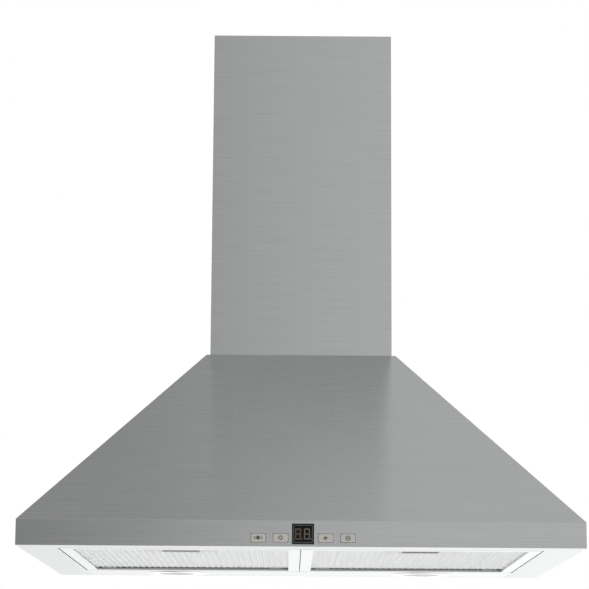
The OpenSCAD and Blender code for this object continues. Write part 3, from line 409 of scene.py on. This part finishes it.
def soften(node, width_mm):
    """Rounds the sharp edges of a CAD node, as its bends and trimmed edges are."""
    weld = nodes[node].modifiers.new("weld", "WELD")
    weld.merge_threshold = WELD_REACH * MM
    bevel = nodes[node].modifiers.new("rounded_edges", "BEVEL")
    bevel.width = width_mm * MM
    bevel.segments = ROUND_STEPS
    bevel.limit_method = "ANGLE"
    bevel.angle_limit = SHARP_ANGLE
    bevel.use_clamp_overlap = False
    flat = nodes[node].modifiers.new("flat_faces", "WEIGHTED_NORMAL")
    flat.weight = FLAT_FACE_WEIGHT


# In mm. The upper cover keeps its plain edges: rounding its small holes would crease its faces.
EDGE_ROUND = {
    "canopy_shell": 0.35, "lower_chimney": 0.3, "display_bezel": 0.25,
    "latch_housing_left": 0.25, "latch_housing_right": 0.25,
    "latch_bolt_left": 0.2, "latch_bolt_right": 0.2,
    "terminal_box": 0.6, "terminal_lid": 0.5, "capacitor": 0.8,
}
for node_name, width in EDGE_ROUND.items():
    soften(node_name, width)


# ---------- pieces modelled here ----------

def make_piece(name, points, faces, body, finish_names, smooth_below=40, face_finish=None):
    """A mesh piece from its points in metres, riding on a body."""
    mesh = bpy.data.meshes.new(name)
    mesh.from_pydata([tuple(point) for point in points], [], faces)
    work = bmesh.new()
    work.from_mesh(mesh)
    bmesh.ops.recalc_face_normals(work, faces=work.faces)
    work.to_mesh(mesh)
    work.free()
    mesh.polygons.foreach_set("use_smooth", [True] * len(mesh.polygons))
    mesh.set_sharp_from_angle(angle=math.radians(smooth_below))
    piece = bpy.data.objects.new(name, mesh)
    bpy.context.scene.collection.objects.link(piece)
    dress(piece, *finish_names)
    if face_finish:
        mesh.polygons.foreach_set("material_index", face_finish)
    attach(piece, body)
    return piece


CORNER_STEPS = 5


def rounded_loop(half_w, half_h, radius):
    """Points of a rectangle with rounded corners, as (across, up) in mm."""
    points = []
    for corner, (sx, sz) in enumerate(((1, 1), (-1, 1), (-1, -1), (1, -1))):
        for k in range(CORNER_STEPS + 1):
            angle = math.radians(90 * (corner + k / CORNER_STEPS))
            points.append((sx * (half_w - radius) + radius * math.cos(angle),
                           sz * (half_h - radius) + radius * math.sin(angle)))
    return points


def loft(loops):
    """Faces that join loops of equal length one after another, closed at both ends."""
    count = len(loops[0])
    points = [point for loop in loops for point in loop]
    faces = []
    for level in range(len(loops) - 1):
        for k in range(count):
            here, there = level * count + k, level * count + (k + 1) % count
            faces.append((here, there, there + count, here + count))
    faces.append(tuple(range(count)))
    faces.append(tuple(range(len(points) - count, len(points))))
    return points, faces


KEY_FLANGE_LIP = 0.9
KEY_CORNER = 1.8
KEY_DISH = 0.1
KEY_STEM_RADIUS = 1.8
KEY_FLANGE_THICK = 1.2
# From the front of a resting key cap to its flange: what it stands out, the sheet and a gap behind it.
KEY_SIDE = 3.1
# The cap's rounded edge and dished face: how far behind the front, in from the side and off the corner.
KEY_EDGE = ((0.9, 0, 0), (0.4, 0.15, 0), (0.12, 0.45, 0.2), (0, 1.0, 0.5), (0.05, 1.5, 0.6),
            (KEY_DISH, 2.4, 1.3))
# The white rim, a painted highlight, starts at this section of a key and is this many bands wide.
RIM_START, RIM_BANDS = 5, 3


def make_key(node, body):
    """A moulded key: stem, flange, straight sides, a rounded edge painted white as a highlight and a dished
    cream face.
    """
    low, high = (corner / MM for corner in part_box(node))
    centre_x, centre_z = (low.x + high.x) / 2, (low.z + high.z) / 2
    cap_w, cap_h = (high.x - low.x) / 2 - KEY_FLANGE_LIP, (high.z - low.z) / 2 - KEY_FLANGE_LIP
    flange_front = low.y + KEY_SIDE
    sections = [
        (high.y, KEY_STEM_RADIUS, KEY_STEM_RADIUS, KEY_STEM_RADIUS),
        (flange_front + KEY_FLANGE_THICK, KEY_STEM_RADIUS, KEY_STEM_RADIUS, KEY_STEM_RADIUS),
        (flange_front + KEY_FLANGE_THICK, cap_w + KEY_FLANGE_LIP, cap_h + KEY_FLANGE_LIP, KEY_CORNER),
        (flange_front, cap_w + KEY_FLANGE_LIP, cap_h + KEY_FLANGE_LIP, KEY_CORNER),
        (flange_front, cap_w, cap_h, KEY_CORNER),
    ]
    sections += [(low.y + behind, cap_w - inset, cap_h - inset, KEY_CORNER - tighter)
                 for behind, inset, tighter in KEY_EDGE]
    loops = [[Vector((centre_x + x, y, centre_z + z)) * MM for x, z in rounded_loop(half_w, half_h, radius)]
             for y, half_w, half_h, radius in sections]
    points, faces = loft(loops)
    count = len(loops[0])
    # The rim bands take the second finish: white as a painted highlight.
    rim = range(RIM_START * count, (RIM_START + RIM_BANDS) * count)
    finish = [1 if k in rim else 0 for k in range(len(faces))]
    piece = make_piece("cap_" + node, points, faces, body, ("key", "key_rim_painted_highlight"), face_finish=finish)
    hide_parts(node)
    return Vector((centre_x, low.y + KEY_DISH, centre_z))


def bar_shape(x0, z0, x1, z1, width):
    """A straight stroke between two points."""
    along = Vector((x1 - x0, z1 - z0)).normalized() * width / 2
    across = Vector((-along.y, along.x))
    start, end = Vector((x0, z0)), Vector((x1, z1))
    return [start - across, end - across, end + across, start + across]


def ring_shapes(radius, width, sides):
    """A ring drawn as short strokes, with as many sides as it has corners."""
    shapes = []
    for k in range(sides):
        a, b = (math.radians(360 * (k + step) / sides) for step in (0, 1))
        shapes.append([Vector((r * math.cos(t), r * math.sin(t))) for r, t in
                       ((radius - width, a), (radius, a), (radius, b), (radius - width, b))])
    return shapes


def fan_blade(turn):
    """One curved blade of the fan sign."""
    outline = [(0.2, 0.0), (0.9, 0.5), (1.9, 0.45), (2.7, -0.3), (1.8, -0.7), (0.8, -0.5)]
    c, s = math.cos(turn), math.sin(turn)
    return [Vector((x * c - z * s, x * s + z * c)) for x, z in outline]


def key_signs():
    """What is printed on each key, as flat outlines in mm round the middle of its face."""
    lamp = ring_shapes(1.7, 1.25, 12)
    lamp += [bar_shape(0.4 * math.cos(t), 0.4 * math.sin(t), 2.5 * math.cos(t), 2.5 * math.sin(t), 0.55)
             for t in (math.radians(30 + 60 * k) for k in range(6))]
    lamp += [bar_shape(side * x, -1.7, side * x, 1.7, 0.45) for side in (-1, 1) for x in (3.1, 4.1)]
    return {
        "light_key": lamp,
        "down_key": ring_shapes(2.7, 1.0, 4),
        "fan_key": [fan_blade(math.radians(20 + 90 * k)) for k in range(4)] + ring_shapes(0.6, 0.6, 10),
        "power_key": ring_shapes(2.6, 0.65, 24) + [bar_shape(-1.5, 0, 1.5, 0, 0.9)],
    }


INK_STANDS = 0.04
INK_DEEP = 0.22


def print_sign(node, body, centre, shapes):
    """The printed sign of a key: a thin film of ink lying on its face."""
    points, faces = [], []
    for shape in shapes:
        first, count = len(points), len(shape)
        for y in (centre.y - INK_STANDS, centre.y + INK_DEEP):
            points += [Vector((centre.x + p.x, y, centre.z + p.y)) * MM for p in shape]
        faces.append(tuple(first + k for k in range(count)))
        faces.append(tuple(first + count + k for k in range(count)))
        faces += [(first + k, first + (k + 1) % count, first + count + (k + 1) % count, first + count + k)
                  for k in range(count)]
    return make_piece("sign_" + node, points, faces, body, ("ink",), smooth_below=20)


for node_name, shapes in key_signs().items():
    print_sign(node_name, node_name, make_key(node_name, node_name), shapes)


FRAME_LINE_WIDE = 0.35
FRAME_LINE_MARGIN = 0.1
FRAME_LINE_CORNER = 0.9
FRAME_LINE_STANDS = 0.03
FRAME_LINE_DEEP = 0.02


def make_display_line():
    """The thin grey line printed round the inside of the display's dark frame."""
    low, high = (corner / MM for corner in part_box("display_window"))
    centre_x, centre_z = (low.x + high.x) / 2, (low.z + high.z) / 2
    half_w = (high.x - low.x) / 2 - FRAME_LINE_MARGIN
    half_h = (high.z - low.z) / 2 - FRAME_LINE_MARGIN
    front, rear = low.y - FRAME_LINE_STANDS, low.y + FRAME_LINE_DEEP
    loops = []
    for y, inset in ((front, 0), (front, FRAME_LINE_WIDE), (rear, FRAME_LINE_WIDE), (rear, 0)):
        outline = rounded_loop(half_w - inset, half_h - inset, FRAME_LINE_CORNER - inset)
        loops.append([Vector((centre_x + x, y, centre_z + z)) * MM for x, z in outline])
    count = len(loops[0])
    points = [point for loop in loops for point in loop]
    faces = []
    for level in range(4):
        for k in range(count):
            a, b = level * count, (level + 1) % 4 * count
            faces.append((a + k, a + (k + 1) % count, b + (k + 1) % count, b + k))
    make_piece("display_frame_line", points, faces, "hood", ("frame_line",))


make_display_line()


# ---------- studio ----------

FLOOR_DROP = 1.5
FLOOR_HALF = 30.0
FLOOR_GRAIN = 120


def make_floor():
    """A plain pale floor, far below the hung hood; seen from underneath it lets the view through."""
    mesh = bpy.data.meshes.new("studio_floor")
    corners = [(-FLOOR_HALF, -FLOOR_HALF), (FLOOR_HALF, -FLOOR_HALF), (FLOOR_HALF, FLOOR_HALF),
               (-FLOOR_HALF, FLOOR_HALF)]
    mesh.from_pydata([(x, y, -FLOOR_DROP) for x, y in corners], [], [(0, 1, 2, 3)])
    floor = bpy.data.objects.new("studio_floor", mesh)
    bpy.context.scene.collection.objects.link(floor)
    material, tree, shader, place = start_finish("matt_white_floor", {"Roughness": 0.8})
    colour, noise = mottle(tree, place, FLOOR_GRAIN, "#e8e8e8", "#efefef")
    tree.links.new(colour, shader.inputs["Base Color"])
    side = add(tree, "ShaderNodeNewGeometry")
    seen = add(tree, "ShaderNodeMath", {"operation": "SUBTRACT", 0: 1.0}, {1: side.outputs["Backfacing"]})
    tree.links.new(seen.outputs[0], shader.inputs["Alpha"])
    mesh.materials.append(material)
    floor.visible_glossy = False
    floor.visible_diffuse = False


def make_world():
    """A white cyclorama to the eye; what the steel mirrors is darker on the left, and pale from below."""
    world = bpy.data.worlds.new("studio")
    world.use_nodes = True
    bpy.context.scene.world = world
    tree = world.node_tree
    tree.nodes.clear()
    way = add(tree, "ShaderNodeTexCoord")
    parts = add(tree, "ShaderNodeSeparateXYZ", links={0: way.outputs["Generated"]})
    right, back, up = parts.outputs

    def fade(source, start, end, low, high):
        """A smooth change from low to high as source goes from start to end."""
        return add(tree, "ShaderNodeMapRange", {
            "interpolation_type": "SMOOTHSTEP",
            "From Min": start, "From Max": end, "To Min": low, "To Max": high,
        }, {"Value": source}).outputs[0]

    def blend(share, first, second):
        """first where share is 0 and second where it is 1, each a value or a socket."""
        sockets = {"Factor": share}
        values = {}
        for slot, value in (("A", first), ("B", second)):
            (values if isinstance(value, float) else sockets)[slot] = value
        return add(tree, "ShaderNodeMix", values, sockets).outputs[0]

    room = fade(right, *ROOM_FADE)
    overhead = blend(fade(back, *REAR_CEILING_SPAN, 0.0, 1.0), UPPER_ROOM, fade(right, *CEILING_FADE))
    above = blend(fade(up, *CEILING_SPAN, 0.0, 1.0), room, overhead)
    floorward = blend(fade(back, *FRONT_FLOOR_SPAN, 0.0, 1.0), room, fade(right, *BELOW_FADE))
    below = blend(fade(up, *STRAIGHT_DOWN_SPAN, 0.0, 1.0), floorward, STRAIGHT_DOWN)
    shaded = blend(fade(up, *HORIZON_SPAN, 0.0, 1.0), above, below)
    low_behind = blend(fade(back, *REAR_SPAN, 0.0, 1.0), 0.0, fade(up, *REAR_TOP_SPAN, 1.0, 0.0))
    mirrored = blend(low_behind, shaded, fade(right, *BEHIND_FADE))
    shades = add(tree, "ShaderNodeBackground", links={"Color": mirrored})
    white = add(tree, "ShaderNodeBackground", {"Color": (1, 1, 1, 1), "Strength": 1.0})
    eye = add(tree, "ShaderNodeLightPath")
    mixed = add(tree, "ShaderNodeMixShader", links={
        0: eye.outputs["Is Camera Ray"], 1: shades.outputs[0], 2: white.outputs[0],
    })
    add(tree, "ShaderNodeOutputWorld", links={"Surface": mixed.outputs[0]})


def softbox(name, place, aim, size, power):
    """A soft rectangular studio light that the camera doesn't see."""
    data = bpy.data.lights.new(name, "AREA")
    data.shape = "RECTANGLE"
    data.size, data.size_y = size
    data.energy = power
    lamp = bpy.data.objects.new(name, data)
    lamp.location = place
    lamp.rotation_euler = (Vector(aim) - Vector(place)).to_track_quat("-Z", "Y").to_euler()
    lamp.visible_camera = False
    bpy.context.scene.collection.objects.link(lamp)


# How bright each side of the studio is: from and to across the hood, then the value at each end.
ROOM_FADE = (-0.16, 0.05, 0.24, 0.67)
CEILING_FADE = (-0.08, 0.05, 0.32, 0.64)
BELOW_FADE = (-0.2, 0.2, 1.15, 1.3)
BEHIND_FADE = (-0.12, 0.12, 1.32, 1.5)
UPPER_ROOM = 0.4
STRAIGHT_DOWN = 0.4
# Where one part of the studio gives way to the next, as shares of straight up or straight back.
REAR_CEILING_SPAN = (-0.1, 0.2)
CEILING_SPAN = (0.42, 0.6)
FRONT_FLOOR_SPAN = (-0.5, 0.0)
STRAIGHT_DOWN_SPAN = (-0.9, -0.97)
HORIZON_SPAN = (0.0, -0.25)
REAR_SPAN = (0.6, 0.85)
REAR_TOP_SPAN = (0.05, 0.25)

make_floor()
make_world()
softbox("overhead_softbox", (0.5, -1.6, 3.2), (0, -0.2, 0.3), (3.0, 3.0), 4)
bpy.context.scene.view_settings.view_transform = "Standard"
